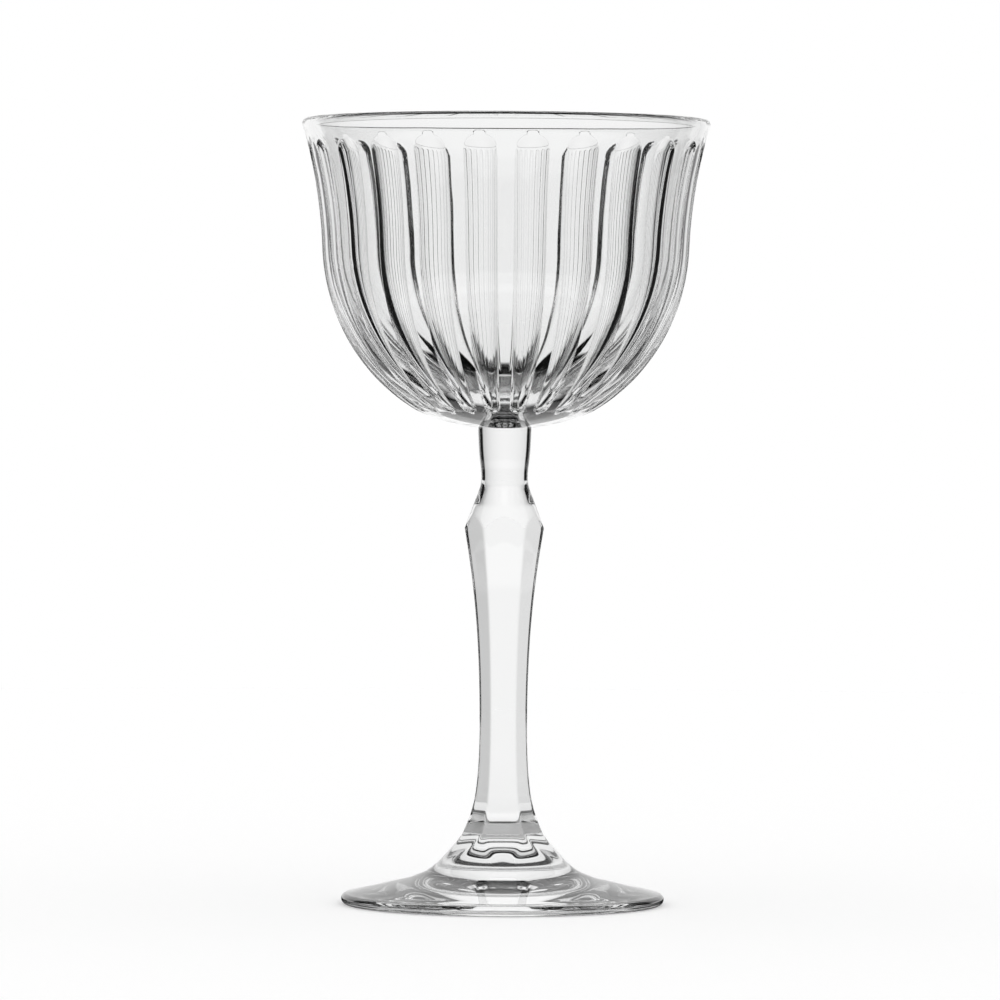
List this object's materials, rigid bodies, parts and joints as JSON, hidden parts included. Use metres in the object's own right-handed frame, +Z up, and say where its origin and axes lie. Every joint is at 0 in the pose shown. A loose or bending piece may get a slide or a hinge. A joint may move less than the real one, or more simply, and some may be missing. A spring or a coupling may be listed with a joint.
{
  "type": "nick and nora glass",
  "caption": "Clear stemmed cocktail glass with a deep fluted bowl, a smooth flared rim, a faceted baluster stem and a round foot.",
  "frame": {"origin": "centre of the contact ring under the foot, on the table plane", "axes": "+Z up along the axis of the glass; one rib of the bowl and one stem flat face -Y"},
  "size_m": [0.0822, 0.0822, 0.158],
  "materials": {
    "clear_glass": "clear colourless pressed glass, fire polished"
  },
  "bodies": {
    "root": {"bowl": "clear_glass", "stem": "clear_glass", "foot": "clear_glass"}
  },
  "joints": []
}
